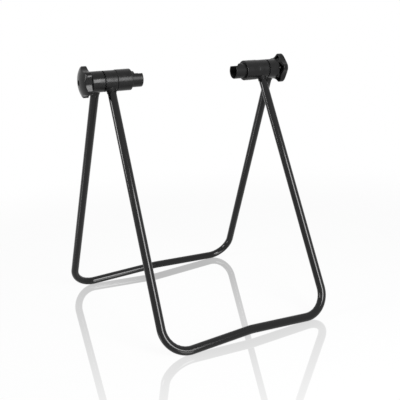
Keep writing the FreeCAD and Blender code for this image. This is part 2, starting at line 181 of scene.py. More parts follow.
class KnobSettings(bpy.types.PropertyGroup):
    """Sizes and finish of the lobed knobs."""

    lobes: count("Lobes", "Lobes of each knob", 5)
    tip: length("Lobe tip", "Radius at the lobe tips", 0.0233)
    waist: length("Waist", "Radius between the lobes", 0.0183)
    lobe: length("Lobe radius", "Radius of each lobe's own arc", 0.0065)
    rim: length("Rim", "Thickness of the rim at the lobe tips", 0.0076)
    dome: length("Dome", "Height of the dome above the rim", 0.0066)
    edge: length("Front edge", "Rounding between the dome and the rim", 0.0016)
    back_edge: length("Back edge", "Rounding of the rim's back edge", 0.0008)
    wall: length("Wall", "Wall round the hollow back", 0.0026)
    pocket: length("Back hollow", "Depth of the hollow back", 0.0056)
    hub: length("Knob hub", "Radius of the hub inside the hollow back", 0.0085)
    hub_gap: length("Hub gap", "Hub's end inside the rim's back", 0.0001)
    square: length("Square socket", "Side of the square socket", 0.0057)
    square_depth: length("Square depth", "Depth of the square socket", 0.00685)
    recess: length("Screw recess", "Radius of the screw recess in the face", 0.0039)
    recess_depth: length("Screw recess depth", "Depth of the screw recess", 0.0038)
    screw_hole: length("Screw hole", "Radius of the knob screw's hole", 0.0021)
    left_turn: angle("Left knob", "A lobe's direction from upright towards the front", 60.0)
    right_turn: angle("Right knob", "A lobe's direction from upright towards the front", 15.0)
    plastic: colour("Knob plastic", "Colour of the knobs", (0.0050, 0.0050, 0.0052))


class StudioSettings(bpy.types.PropertyGroup):
    """Floor, lamps and camera."""

    camera: place("Camera", "Camera's place", (-0.4415, -0.9149, 0.4060))
    aim: place("Aim", "Point in the middle of the picture", (-0.00466, -0.04436, 0.17942))
    roll: angle("Roll", "Camera's roll about its line of sight", -3.384)
    lens: FloatProperty(name="Lens", description="Focal length", default=57.92, unit="CAMERA")
    floor_radius: length("Floor radius", "Radius of the floor", 8.0)
    floor_glow: share("Floor glow", "Share of the floor's white that takes no shadow", 0.92)
    floor_gloss: share("Floor gloss", "Share of the floor that mirrors, under the stand", 0.50)
    room_fill: strength("Room fill", "Brightness of the room as it lights plain surfaces", 0.15)
    key: strength("Key lamp", "Radiance of the large lamp in front", 13.0)
    edge: strength("Side lamp", "Radiance of the lamp on the left", 13.0)


class StandSettings(bpy.types.PropertyGroup):
    """All settings of the stand."""

    tube: PointerProperty(type=TubeSettings)
    hub: PointerProperty(type=HubSettings)
    cup: PointerProperty(type=CupSettings)
    knob: PointerProperty(type=KnobSettings)
    studio: PointerProperty(type=StudioSettings)


# Surfaces

def grid_faces(rows, columns, close_rows=True, close_columns=True):
    """Quads between the points of a grid, numbered row by row, closed where asked."""
    r, c = np.meshgrid(np.arange(rows if close_rows else rows - 1),
                       np.arange(columns if close_columns else columns - 1), indexing="ij")
    r_next = (r + 1) % rows
    c_next = (c + 1) % columns
    corners = [r * columns + c, r * columns + c_next, r_next * columns + c_next,
               r_next * columns + c]
    return np.stack(corners, axis=-1).reshape(-1, 4)


def closed_shell(points, faces, wear):
    """Shell whose faces point outwards: they turn round where the volume comes out negative."""
    a, b, c, d = (points[faces[:, i]] for i in range(4))
    volume = np.sum(a * np.cross(b, c)) + np.sum(a * np.cross(c, d))
    return points, (faces if volume > 0 else faces[:, ::-1]), wear


def ring_shell(points, wear):
    """Shell from a grid that closes on itself both ways; wear has one value per row."""
    rows, columns = points.shape[:2]
    worn = np.repeat(np.asarray(wear, float), columns)
    return closed_shell(points.reshape(-1, 3), grid_faces(rows, columns), worn)


def rounded_outline(corners, radii, steps=5, margin=0.00012):
    """Closed outline with an arc at each corner, and the wear of each of its points.

    An arc touches both sides at radius over tan(half the inside angle) from the corner. It is
    the mean of its two end directions weighted by sines. One more point stands a margin beyond
    each end, so that the flats shade flat. Wear is 1 in the middle of an arc and 0 on a side.
    """
    corners = np.asarray(corners, float)
    radii = np.asarray(radii, float)[:, None]
    before = np.roll(corners, 1, axis=0) - corners
    after = np.roll(corners, -1, axis=0) - corners
    before /= np.linalg.norm(before, axis=1, keepdims=True)
    after /= np.linalg.norm(after, axis=1, keepdims=True)
    half = np.arccos(np.clip(np.sum(before * after, axis=1, keepdims=True), -1, 1)) / 2
    reach = radii / np.tan(half)
    middle = before + after
    middle /= np.linalg.norm(middle, axis=1, keepdims=True)
    centre = corners + middle * radii / np.sin(half)
    start = (corners + before * reach - centre)[:, None]
    end = (corners + after * reach - centre)[:, None]
    sweep = (math.pi - 2 * half)[:, None]
    t = np.linspace(0, 1, steps + 1)[None, :, None]
    spoke = (start * np.sin((1 - t) * sweep) + end * np.sin(t * sweep)) / np.sin(sweep)
    arc = centre[:, None] + spoke
    lead = (corners + before * (reach + margin))[:, None]
    tail = (corners + after * (reach + margin))[:, None]
    outline = np.concatenate([lead, arc, tail], axis=1).reshape(-1, 2)
    one_corner = np.concatenate([[0], np.sin(math.pi * t.ravel()), [0]])
    return outline, np.tile(one_corner, len(corners))


def hub_points(side, distance, radius, turn):
    """Points round the hub axis: x is the distance from the middle of the stand, and the turn
    runs from straight up towards the front at the radius."""
    distance, radius, turn = np.broadcast_arrays(distance, radius, turn)
    return np.stack([side * distance, HUB_Y - radius * np.sin(turn), HUB_Z + radius * np.cos(turn)],
                    axis=-1)


def turned_shell(side, corners, radii, columns=96):
    """Outline of (distance, radius) corners turned about the hub axis."""
    outline, wear = rounded_outline(corners, radii)
    turn = np.linspace(0, 2 * math.pi, columns, endpoint=False)
    return ring_shell(hub_points(side, outline[:, :1], outline[:, 1:], turn[None]), wear)


def block_shell(points, filled):
    """Outside faces of a curved stack of blocks.

    points[i, j, k] are the blocks' corners: i outwards from the axis, where i = 0 is one point
    for every j, j round the axis, closed, and k along it. filled says which blocks are solid. A
    face stands wherever a solid block meets an empty one.
    """
    ni, nj, nk = points.shape[:3]
    number = np.arange(ni * nj * nk).reshape(ni, nj, nk)
    number[0] = number[0, :1]
    solid = np.pad(filled, ((1, 1), (0, 0), (1, 1)))
    i, j, k = np.meshgrid(np.arange(ni), np.arange(nj), np.arange(nk), indexing="ij")
    steps = {"i": ((0, 1, 0), (0, 0, 1)), "j": ((0, 0, 1), (1, 0, 0)), "k": ((1, 0, 0), (0, 1, 0))}
    beside = {"i": (solid[i, j, k + 1], solid[i + 1, j, k + 1]),
              "j": (solid[i + 1, j - 1, k + 1], solid[i + 1, j, k + 1]),
              "k": (solid[i + 1, j, k], solid[i + 1, j, k + 1])}
    faces = []
    for way, (first, second) in steps.items():
        before, here = beside[way]
        if way == "i":
            here = here & (i > 0)
        for mask, order in ((before & ~here, 1), (here & ~before, -1)):
            at = np.stack([i[mask], j[mask], k[mask]], axis=1)
            one, two = np.array(first), np.array(second)
            quad = np.stack([at, at + one, at + one + two, at + two], axis=1)[:, ::order]
            quad[..., 1] %= nj
            faces.append(number[quad[..., 0], quad[..., 1], quad[..., 2]])
    faces = np.concatenate(faces)
    # a face on the axis has one corner twice: it is turned until the pair closes the round
    twice = np.argmax(faces == np.roll(faces, 1, axis=1), axis=1)
    column = (np.arange(4)[None] + twice[:, None]) % 4
    faces = np.take_along_axis(faces, column, axis=1)
    used, faces = np.unique(faces, return_inverse=True)
    faces = faces.reshape(-1, 4)
    return closed_shell(points.reshape(-1, 3)[used], faces, np.zeros(len(used)))


def box_shell(low, high):
    """Plain block between two corners."""
    base = [[0, 0], [1, 0], [1, 1], [0, 1]]
    steps = np.array([corner + [level] for level in (0, 1) for corner in base])
    points = np.asarray(low) + steps * (np.asarray(high) - np.asarray(low))
    faces = np.array([[0, 3, 2, 1], [4, 5, 6, 7], [0, 1, 5, 4], [1, 2, 6, 5], [2, 3, 7, 6],
                      [3, 0, 4, 7]])
    return closed_shell(points, faces, np.zeros(8))


def quarter_round(steps):
    """Sine and cosine over a quarter turn, and the wear there: 1 in the middle of the edge."""
    return [(math.sin(t), math.cos(t), math.sin(2 * t)) for t in np.linspace(0, math.pi / 2, steps)]


def curve(first, control, last, t):
    """Point of the curve with three control points: (1-t)^2 a + 2t(1-t) b + t^2 c."""
    return (1 - t) ** 2 * first + 2 * t * (1 - t) * control + t ** 2 * last


def add_piece(name, shells, body, material):
    """Puts shells into one smooth mesh that stands for the CAD node of the same name."""
    sizes = [len(points) for points, faces, wear in shells]
    offsets = np.cumsum([0] + sizes[:-1])
    points = np.concatenate([shell[0] for shell in shells])
    faces = np.concatenate([shell[1] + offset for shell, offset in zip(shells, offsets)])
    wear = np.concatenate([shell[2] for shell in shells])
    keep = np.ones(faces.shape, bool)
    keep[faces[:, 0] == faces[:, 3], 3] = False
    corners = faces[keep]
    mesh = bpy.data.meshes.new(name + "_form")
    mesh.vertices.add(len(points))
    mesh.vertices.foreach_set("co", points.astype(np.float32).ravel())
    mesh.loops.add(len(corners))
    mesh.loops.foreach_set("vertex_index", corners.astype(np.int32))
    mesh.polygons.add(len(faces))
    starts = np.concatenate([[0], np.cumsum(keep.sum(axis=1))[:-1]])
    mesh.polygons.foreach_set("loop_start", starts.astype(np.int32))
    mesh.update(calc_edges=True)
    if mesh.validate(verbose=False):
        raise RuntimeError(name + " has faulty faces")
    mesh.shade_smooth()
    mesh.attributes.new("wear", "FLOAT", "POINT").data.foreach_set("value", wear.astype(np.float32))
    mesh.materials.append(material)
    piece = bpy.data.objects.new(name + "_visible", mesh)
    bpy.context.scene.collection.objects.link(piece)
    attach(piece, body)
    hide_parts(name)
    return piece


def span(node):
    """Near and far end of a node along the hub axis, from the middle of the stand."""
    low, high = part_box(node)
    return min(abs(low.x), abs(high.x)), max(abs(low.x), abs(high.x))


# Frame tubes

def legs(tube):
    """Place, lean, splay and direction of the legs of each frame."""
    return {"front": (tube.front_leg, tube.front_lean, tube.front_splay, -1.0),
            "rear": (tube.rear_leg, tube.rear_lean, tube.rear_splay, 1.0)}


def half_path(tube, leg_x, lean, splay):
    """Right half of a frame's centre line, from the bar's middle to the leg's top.

    In the frame's plane, u along X and v down from the hub axis, it is an arc of the middle
    bend, a straight half bar, a quarter bend and a straight leg, each tangent to the next.
    Returns points, unit directions and how far each point is into the bend (0 to 1, or 0).
    """
    slope = tube.bar_slope
    corner_v = (HUB_Z - tube.radius) / math.cos(lean) - tube.corner_radius
    corner_u = leg_x + corner_v * math.tan(splay) - tube.corner_radius / math.cos(splay)
    bar_v = corner_v + tube.corner_radius / math.cos(slope) - corner_u * math.tan(slope)
    middle_v = bar_v + tube.bar_bend / math.cos(slope)
    a = np.linspace(0, slope, 6)
    middle = np.stack([tube.bar_bend * np.sin(a), middle_v - tube.bar_bend * np.cos(a)], axis=1)
    middle_way = np.stack([np.cos(a), np.sin(a)], axis=1)
    b = np.linspace(-slope, math.pi / 2 + splay, 61)
    corner = np.stack([corner_u + tube.corner_radius * np.sin(b),
                       corner_v + tube.corner_radius * np.cos(b)], axis=1)
    corner_way = np.stack([np.cos(b), -np.sin(b)], axis=1)
    t = np.linspace(0, 1, 14)[1:-1, None]
    bar = middle[-1] + (corner[0] - middle[-1]) * t
    top = np.array([leg_x + tube.leg_top * math.sin(splay), tube.leg_top * math.cos(splay)])
    t = np.linspace(0, 1, 30)[1:, None]
    leg = corner[-1] + (top - corner[-1]) * t
    points = np.concatenate([middle, bar, corner, leg])
    ways = np.concatenate([middle_way, np.tile(middle_way[-1], (len(bar), 1)), corner_way,
                           np.tile(corner_way[-1], (len(leg), 1))])
    into = np.zeros(len(points))
    first = len(middle) + len(bar)
    into[first:first + len(corner)] = np.linspace(0, 1, len(corner))
    return points, ways, into


def tube_shell(tube, leg_x, lean, splay, towards, ring=48, ripples=8):
    """Bent tube: a circle carried along the centre line, outside wall out and inside wall back.

    A bend is narrower in its plane by the flattening times sine squared of its progress, and
    its inside has ripples: a cosine along the bend, fading with the square of the section's
    inward part.
    """
    half, way, into = half_path(tube, leg_x, lean, splay)
    mirror = np.array([-1.0, 1.0])
    path = np.concatenate([half[:0:-1] * mirror, half])
    ways = np.concatenate([way[:0:-1] * -mirror, way])
    into = np.concatenate([into[:0:-1], into])
    along_u = np.array([1.0, 0.0, 0.0])
    along_v = np.array([0.0, towards * math.sin(lean), -math.cos(lean)])
    across = np.cross(along_u, along_v)
    origin = np.array([0.0, HUB_Y, HUB_Z])
    centre = origin + path[:, :1] * along_u + path[:, 1:] * along_v
    outward = -ways[:, 1:] * along_u + ways[:, :1] * along_v
    turn = np.linspace(0, 2 * math.pi, ring, endpoint=False)[None, :, None]
    bent = (np.sin(math.pi * into) ** 2)[:, None, None]
    inside = np.clip(-np.cos(turn), 0, 1) ** 2
    wave = np.cos(2 * math.pi * ripples * into)[:, None, None]
    walls = []
    for radius in (tube.radius, tube.radius - tube.wall):
        swell = radius + tube.bend_ripple * bent * inside * wave
        flat = 1 - tube.bend_flattening * bent
        walls.append(centre[:, None] + outward[:, None] * swell * flat * np.cos(turn)
                     + across * swell * np.sin(turn))
    points = np.concatenate([walls[0], walls[1][::-1]])
    return ring_shell(points, np.zeros(len(points)))


class STAND_OT_frame_tubes(bpy.types.Operator):
    """Bend and paint the front and rear frame tubes"""

    bl_idname = "display_stand.frame_tubes"
    bl_label = "Frame Tubes"

    def execute(self, context):
        tube = context.scene.display_stand.tube
        paint = gloss_paint(tube)
        for which, leg in legs(tube).items():
            add_piece(which + "_frame_tube", [tube_shell(tube, *leg)], which + "_frame",
                      paint)
        return {"FINISHED"}


# Hubs: toothed collars with leg bosses, and sleeves

HALF_TOOTH = (0.05, 0.25, 0.55, 0.8, 0.87, 0.94)    # columns, as shares of half a tooth
GROOVE_SHARE = 0.97         # depth of a groove, as a share of the tooth's height
GROOVE_EASE = 0.05          # easing of a groove's bends
GROOVE_ROUND = 0.00008      # rounding in a groove's middle
SOCKET_FIT = 0.00005        # radial gap between a leg and its socket
BOSS_EDGE = 0.00025         # rounding of a boss's end
BOSS_ROOT = 0.0012          # how far a boss goes into its collar
HIDDEN_EDGE = 0.0002        # rounding of a collar's hidden edges


def toothed_shell(hub, side, corners, radii, root, tip, first_groove):
    """Collar turned from an outline, with V grooves across its toothed face.

    Beyond the root, the distance above it shrinks by the groove's depth share: 1 on a groove's
    middle, falling in a straight line to 0 at half the groove's width, with both bends eased.
    """
    outline, wear = rounded_outline(corners, radii, margin=GROOVE_ROUND)
    pitch = 2 * math.pi / hub.tooth_count
    one_tooth = np.array([-1, *(-step for step in reversed(HALF_TOOTH)), *HALF_TOOTH])
    teeth = np.arange(hub.tooth_count)[:, None] * pitch + one_tooth * pitch / 2
    turn = (teeth + first_groove).ravel()[None]
    distance, radius = outline[:, :1], outline[:, 1:]
    off = (turn - first_groove + pitch / 2) % pitch - pitch / 2
    half_groove = math.pi * hub.radius / hub.tooth_count - hub.tooth_land / 2
    raw = 1 - np.hypot(radius * off, GROOVE_ROUND) / half_groove
    sunk = (raw + np.hypot(raw, GROOVE_EASE)) / 2
    height = (distance - root) / (tip - root)
    shrink = np.where(height > 0, 1 - GROOVE_SHARE * np.clip(sunk, 0, 1), 1.0)
    distance = root + (distance - root) * shrink
    return ring_shell(hub_points(side, distance, radius, turn), wear)


def boss_shell(hub, tube, side, leg_x, lean, splay, towards, half_width, columns=96):
    """Round boss on a leg, its socket, and the fillet that joins it to the collar.

    The boss is a circle about the leg's line. Where it meets the collar is the root of a
    quadratic. The fillet is a curve with three control points: one on the boss, the meeting
    point, and one on the collar, each a fillet's width away, less where there is no room.
    """
    down = np.array([side * math.sin(splay), towards * math.cos(splay) * math.sin(lean),
                     -math.cos(splay) * math.cos(lean)])
    origin = np.array([side * leg_x, HUB_Y, HUB_Z])
    across = np.array([1.0, 0.0, 0.0]) - down[0] * down
    across /= np.linalg.norm(across)
    third = np.cross(down, across)
    turn = np.linspace(0, 2 * math.pi, columns, endpoint=False)
    spoke = np.cos(turn)[:, None] * across + np.sin(turn)[:, None] * third

    def at(s, radius):
        s, radius, _ = np.broadcast_arrays(s, radius, turn)
        return origin + s[:, None] * down + radius[:, None] * spoke

    def meeting(radius, collar):
        """Distance down the leg at which a line at this radius leaves the collar."""
        d = down[1:]
        q = (radius + 0 * turn)[:, None] * spoke[:, 1:]
        dd, dq = d @ d, q @ d
        return (-dq + np.sqrt(dq ** 2 - dd * (np.sum(q * q, axis=1) - collar ** 2))) / dd

    meet = meeting(hub.boss_radius, hub.radius)
    room = (half_width - hub.edge) / np.maximum(np.abs(np.cos(turn)), 0.001) - hub.boss_radius
    fillet = np.clip(room, 0.03 * hub.boss_fillet, hub.boss_fillet)
    socket = tube.radius + SOCKET_FIT
    edge_start = hub.boss_end - BOSS_EDGE
    rows = [at(tube.leg_top, socket), at(edge_start, socket), at(hub.boss_end, socket + BOSS_EDGE / 2),
            at(hub.boss_end, hub.boss_radius - BOSS_EDGE - SOCKET_FIT)]
    wear = [0.0, 0.0, 0.5, 0.0]
    for sine, cosine, worn in quarter_round(5):
        rows.append(at(edge_start + BOSS_EDGE * cosine, hub.boss_radius - BOSS_EDGE * (1 - sine)))
        wear.append(worn)
    top = meet + fillet
    for t in np.linspace(0.05, 1, 6):
        rows.append(at(edge_start * (1 - t) + top * t, hub.boss_radius))
    first = at(top, hub.boss_radius)
    control = at(meet, hub.boss_radius)
    wide = hub.boss_radius + fillet
    last = at(meeting(wide, hub.radius), wide)
    rows += [curve(first, control, last, t) for t in np.linspace(0, 1, 9)[1:]]
    rows.append(at(meeting(wide, hub.radius - BOSS_ROOT), wide))
    wear += [0.0] * (len(rows) - len(wear))
    return ring_shell(np.array(rows), wear)


class STAND_OT_collars(bpy.types.Operator):
    """Mould the four toothed collars with their leg bosses"""

    bl_idname = "display_stand.collars"
    bl_label = "Toothed Collars"

    def execute(self, context):
        stand = context.scene.display_stand
        hub, tube = stand.hub, stand.tube
        plastic = grained_plastic("grained_collar_nylon", hub.plastic, roughness=0.30, wander=0.60,
                                  grain_scale=190.0, grain=0.5, wander_scale=120.0)
        ring = hub.radius - hub.tooth_depth
        fine = HIDDEN_EDGE
        for name, side in SIDES.items():
            near, tip = span(name + "_inner_collar")
            root = tip - hub.tooth_height
            seat_end = near + hub.seat_depth
            collar = toothed_shell(
                hub, side,
                [(near, hub.seat), (near, hub.radius), (tip, hub.radius), (tip, ring), (root, ring),
                 (root, hub.bore), (seat_end, hub.bore), (seat_end, hub.seat)],
                [fine, hub.edge, fine, fine, fine, fine, fine, fine], root, tip, 0.0)
            boss = boss_shell(hub, tube, side, *legs(tube)["front"], (root - near) / 2)
            add_piece(name + "_inner_collar", [collar, boss], "front_frame", plastic)
            tip, far = span(name + "_outer_collar")
            root = tip + hub.tooth_height
            floor = far - hub.recess_depth
            collar = toothed_shell(
                hub, side,
                [(tip, ring), (tip, hub.radius), (far, hub.radius), (far, hub.recess),
                 (floor, hub.recess), (floor, hub.bore), (root, hub.bore), (root, ring)],
                [fine, fine, hub.edge, fine, fine, fine, fine, fine], root, tip,
                math.pi / hub.tooth_count)
            boss = boss_shell(hub, tube, side, *legs(tube)["rear"], (far - root) / 2)
            add_piece(name + "_outer_collar", [collar, boss], "rear_frame", plastic)
        return {"FINISHED"}


class STAND_OT_sleeves(bpy.types.Operator):
    """Turn the two sleeves that guide the axle cups"""

    bl_idname = "display_stand.sleeves"
    bl_label = "Sleeves"

    def execute(self, context):
        stand = context.scene.display_stand
        hub, cup = stand.hub, stand.cup
        plastic = grained_plastic("grained_sleeve_nylon", hub.plastic, roughness=0.30, wander=0.60,
                                  grain_scale=200.0, grain=0.5, wander_scale=120.0)
        bore = cup.radius + cup.fit
        fine, soft = 0.0002, 0.0003
        for name, side in SIDES.items():
            mouth, spigot_end = span(name + "_sleeve")
            seam = spigot_end - hub.spigot_length
            inner = seam - hub.sleeve_floor
            shell = turned_shell(
                side,
                [(mouth, bore), (mouth, hub.sleeve_radius), (seam, hub.sleeve_radius),
                 (seam, hub.spigot), (spigot_end, hub.spigot), (spigot_end, hub.spigot_bore),
                 (inner, hub.spigot_bore), (inner, bore)],
                [0.0004, hub.sleeve_mouth, 0.0005, fine, soft, soft, fine, soft])
            start = mouth + cup.key_start
            ends = sorted((side * start, side * (start + cup.key_length)))
            top = HUB_Z - bore
            key = box_shell((ends[0], HUB_Y - cup.key_width / 2, top - cup.key_root),
                            (ends[1], HUB_Y + cup.key_width / 2, top + cup.key_height - cup.fit))
            add_piece(name + "_sleeve", [shell, key], "front_frame", plastic)
        return {"FINISHED"}


# Axle cups

CUP_SLACK = 0.001           # keeps comparisons of equal places and turns clear of rounding


def cup_shell(cup, side, tip, back):
    """Axle cup as a curved stack of blocks: cavity, slot, web, screw bore, nut pocket and groove.

    Radii run from the axis to the screw bore, the pocket's hexagon, the cavity and the outside.
    The slot's and the groove's sides are flat: there the turn is the arc sine of half the width
    over the radius, and between them it is spaced evenly.
    """
    k = np.array([0, cup.edge, cup.slot_length, cup.depth, cup.depth + cup.web, cup.groove_start,
                  back - tip - cup.nut_depth, back - tip - cup.edge, back - tip])
    slot_columns, side_columns, groove_columns = 9, 20, 3
    columns = 2 * (slot_columns + side_columns + groove_columns)
    radius = np.zeros((5, len(k)))
    radius[1] = cup.bore
    radius[2] = cup.nut_flats / 2
    ahead_of_groove = k < cup.groove_start - CUP_SLACK
    radius[3] = cup.radius - np.where(ahead_of_groove, cup.wall, cup.groove_depth)
    radius[4] = cup.radius
    radius[4, [0, -1]] -= cup.edge
    slot = np.arcsin(np.minimum(cup.slot_width / 2 / np.maximum(radius, cup.slot_width / 1.8), 1))
    groove = math.pi - np.arcsin(cup.groove_width / 2 / np.maximum(radius, cup.groove_width))
    t = np.arange(columns // 2 + 1)
    low = slot_columns + side_columns
    ahead = sum(width[:, None] * np.clip((t - start) / columns_in, 0, 1)[None, :, None]
                for width, start, columns_in in ((slot, 0, slot_columns),
                                                 (groove - slot, slot_columns, side_columns),
                                                 (math.pi - groove, low, groove_columns)))
    turn = np.concatenate([ahead, 2 * math.pi - ahead[:, -2:0:-1]], axis=1)
    radius = np.repeat(radius[:, None], columns, axis=1)
    sixth = math.pi / 3
    radius[2] /= np.cos(turn[2] % sixth - sixth / 2)
    flat = np.abs(turn[3] - math.pi) < (math.pi - groove[3]) + CUP_SLACK
    radius[3] = np.where(flat & ~ahead_of_groove, radius[3] / np.cos(turn[3] - math.pi), radius[3])
    points = hub_points(side, tip + k[None, None], radius, turn)
    filled = np.zeros((4, columns, len(k) - 1), bool)
    filled[0, :, 3] = True
    filled[1, :, 3:6] = True
    filled[2, :, 3:] = True
    filled[3] = True
    column = np.arange(columns)
    in_slot = (column < slot_columns) | (column >= columns - slot_columns)
    in_groove = (column >= low) & (column < columns - low)
    filled[3, in_slot, :2] = False
    filled[3, in_groove, 5:] = False
    return block_shell(points, filled)


class STAND_OT_axle_cups(bpy.types.Operator):
    """Mould the two slotted axle cups"""

    bl_idname = "display_stand.axle_cups"
    bl_label = "Axle Cups"

    def execute(self, context):
        cup = context.scene.display_stand.cup
        plastic = grained_plastic("grained_cup_nylon", cup.plastic, roughness=0.32, wander=0.08,
                                  grain_scale=240.0, grain=0.3)
        for name, side in SIDES.items():
            tip, back = span(name + "_axle_cup")
            shell = cup_shell(cup, side, tip, back)
            piece = add_piece(name + "_axle_cup", [shell], name + "_axle_cup", plastic)
            bevel = piece.modifiers.new("edge_softening", "BEVEL")
            bevel.width = cup.softening
            bevel.segments = 3
            bevel.limit_method = "ANGLE"
            bevel.angle_limit = math.radians(30)
            bevel.harden_normals = True
        return {"FINISHED"}


# Knobs

def lobed_radius(knob, turn, inset):
    """Radius of the lobed outline, moved in by the inset, at a turn from a lobe's middle.

    Round lobes and hollow arcs are tangent where the line between their centres crosses them.
    On a lobe the radius is c cos t + sqrt(r^2 - c^2 sin^2 t), c its centre's distance; on a
    hollow it is far cos t - sqrt(h^2 - far^2 sin^2 t).
    """
    half = math.pi / knob.lobes
    centre = knob.tip - knob.lobe
    k = math.cos(half)
    lobe = knob.lobe - inset
    waist = knob.waist - inset
    hollow = ((lobe ** 2 - centre ** 2 - waist ** 2 + 2 * centre * waist * k)
              / (2 * (waist - centre * k - lobe)))
    far = waist + hollow
    reach = lobe / (lobe + hollow)
    meet = np.arctan2(reach * far * math.sin(half), centre + reach * (far * k - centre))
    off = (turn + half) % (2 * half) - half
    beside = half - np.abs(off)
    lobe_rise = np.sqrt(np.maximum(lobe ** 2 - (centre * np.sin(off)) ** 2, 0))
    hollow_rise = np.sqrt(np.maximum(hollow ** 2 - (far * np.sin(beside)) ** 2, 0))
    return np.where(np.abs(off) < meet, centre * np.cos(off) + lobe_rise,
                    far * np.cos(beside) - hollow_rise)


def knob_shell(knob, side, back, first_lobe, columns=300):
    """Knob as one closed surface, row by row from its face over the rim and the hollow back.

    The face is a ball's cap. The front edge is a curve with three control points: on the cap
    an edge's width in, on the edge, and on the side an edge's width down. Then come the side,
    the rounded back edge, the hollow, the hub with its square socket, and the screw's recess.
    """
    turn = np.linspace(0, 2 * math.pi, columns, endpoint=False)
    from_lobe = turn - first_lobe
    apex = back + knob.rim + knob.dome
    ball = (knob.tip ** 2 + knob.dome ** 2) / (2 * knob.dome)

    def outline(inset):
        return lobed_radius(knob, from_lobe, inset)

    def cap(radius):
        return apex - ball + np.sqrt(ball ** 2 - radius ** 2)

    rows = []

    def row(distance, radius, wear=0.0):
        rows.append((*np.broadcast_arrays(distance, radius, turn)[:2], wear))

    floor = apex - knob.recess_depth
    fine = 0.0003
    row(floor, knob.screw_hole)
    row(floor, knob.recess - fine)
    row(floor + fine / 3, knob.recess - fine / 3)
    row(floor + fine, knob.recess)
    edge_top = float(cap(knob.recess + fine))
    row(edge_top - fine * 1.3, knob.recess)
    for sine, cosine, worn in quarter_round(5):
        row(edge_top - fine * (1 - sine), knob.recess + fine * (1 - cosine), worn)
    inner = outline(knob.edge)
    for t in np.linspace(0.03, 1, 16):
        radius = (knob.recess + fine) * (1 - t) + inner * t
        row(cap(radius), radius)
    crest = cap(outline(0.0))
    side_top = crest - knob.edge
    for t in np.linspace(0, 1, 11)[1:]:
        row(curve(cap(inner), crest, side_top, t), outline(knob.edge * (1 - t) ** 2),
            math.sin(math.pi * t))
    low = back + knob.back_edge
    for t in (0.1, 0.4, 0.7, 0.97):
        row(side_top * (1 - t) + low * t, outline(0.0))
    for sine, cosine, worn in quarter_round(7):
        row(low - knob.back_edge * sine, outline(knob.back_edge * (1 - cosine)), worn)
    wall_edge = 0.0004
    row(back, outline(knob.back_edge + 0.0001))
    row(back, outline(knob.wall - wall_edge))
    for sine, cosine, worn in quarter_round(4):
        row(back + wall_edge * (1 - cosine), outline(knob.wall - wall_edge * (1 - sine)))
    pocket_floor = back + knob.pocket
    hub_end = back + knob.hub_gap
    socket_end = hub_end + knob.square_depth
    quarter = math.pi / 2
    square = knob.square / 2 / np.cos((turn + quarter / 2) % quarter - quarter / 2)
    for distance, radius in (
            (pocket_floor - fine, outline(knob.wall)), (pocket_floor, outline(knob.wall + fine)),
            (pocket_floor, knob.hub + fine), (pocket_floor - fine, knob.hub),
            (hub_end + fine, knob.hub), (hub_end, knob.hub - fine),
            (hub_end, square + fine), (hub_end + fine, square),
            (socket_end - fine, square), (socket_end, square - fine),
            (socket_end, knob.screw_hole + fine), (socket_end + fine, knob.screw_hole)):
        row(distance, radius)
    distance = np.array([r[0] for r in rows])
    radius = np.array([r[1] for r in rows])
    return ring_shell(hub_points(side, distance, radius, turn[None]), [r[2] for r in rows])


class STAND_OT_knobs(bpy.types.Operator):
    """Mould the two lobed knobs"""

    bl_idname = "display_stand.knobs"
    bl_label = "Knobs"

    def execute(self, context):
        knob = context.scene.display_stand.knob
        plastic = grained_plastic("half_gloss_knob_plastic", knob.plastic, roughness=0.20, wander=0.05,
                                  grain_scale=1500.0, grain=0.03)
        for name, side in SIDES.items():
            turned_by = knob.left_turn if side < 0 else knob.right_turn
            shell = knob_shell(knob, side, span(name + "_knob")[0], turned_by)
            add_piece(name + "_knob", [shell], name + "_knob", plastic)
        return {"FINISHED"}


# Materials

DUST_COLOUR = (0.42, 0.41, 0.39, 1.0)
RUBBED_COLOUR = (0.30, 0.30, 0.31, 1.0)
BROAD_GRAIN = 0.22          # scale of the broad grain, as a share of the fine grain's
GRAIN_HEIGHT = 0.0001
PAINT_SPECULAR = 0.28       # both are low, so that black stays black in the white room
PLASTIC_SPECULAR = 0.20
WHITE = (1.0, 1.0, 1.0, 1.0)


def add_node(tree, kind, settings=None, inputs=None):
    """New node with its settings. An input takes a value, or a link where it is given a socket."""
    node = tree.nodes.new(kind)
    for key, value in (settings or {}).items():
        setattr(node, key, value)
    for key, value in (inputs or {}).items():
        if isinstance(value, bpy.types.NodeSocket):
            tree.links.new(value, node.inputs[key])
        else:
            node.inputs[key].default_value = value
    return node


def maths(tree, operation, *values, clamp=False):
    """Outcome of one operation on numbers and sockets."""
    return add_node(tree, "ShaderNodeMath", {"operation": operation, "use_clamp": clamp},
                    dict(enumerate(values))).outputs[0]


def ramp(tree, value, low, high, start=0.0, end=1.0, smooth=False):
    """Value taken from one range to another and held at the ends."""
    kind = "SMOOTHSTEP" if smooth else "LINEAR"
    return add_node(tree, "ShaderNodeMapRange", {"interpolation_type": kind}, {
        "Value": value, "From Min": low, "From Max": high, "To Min": start, "To Max": end}).outputs[0]


def noise(tree, where, scale, detail, roughness=0.5):
    """Cloudy noise between 0 and 1 over the object."""
    return add_node(tree, "ShaderNodeTexNoise", inputs={
        "Vector": where, "Scale": scale, "Detail": detail, "Roughness": roughness}).outputs[0]


def colour_mix(tree, share, first, second):
    """Colour between two others."""
    return add_node(tree, "ShaderNodeMix", {"data_type": "RGBA"},
                    {0: share, 6: first, 7: second}).outputs[2]


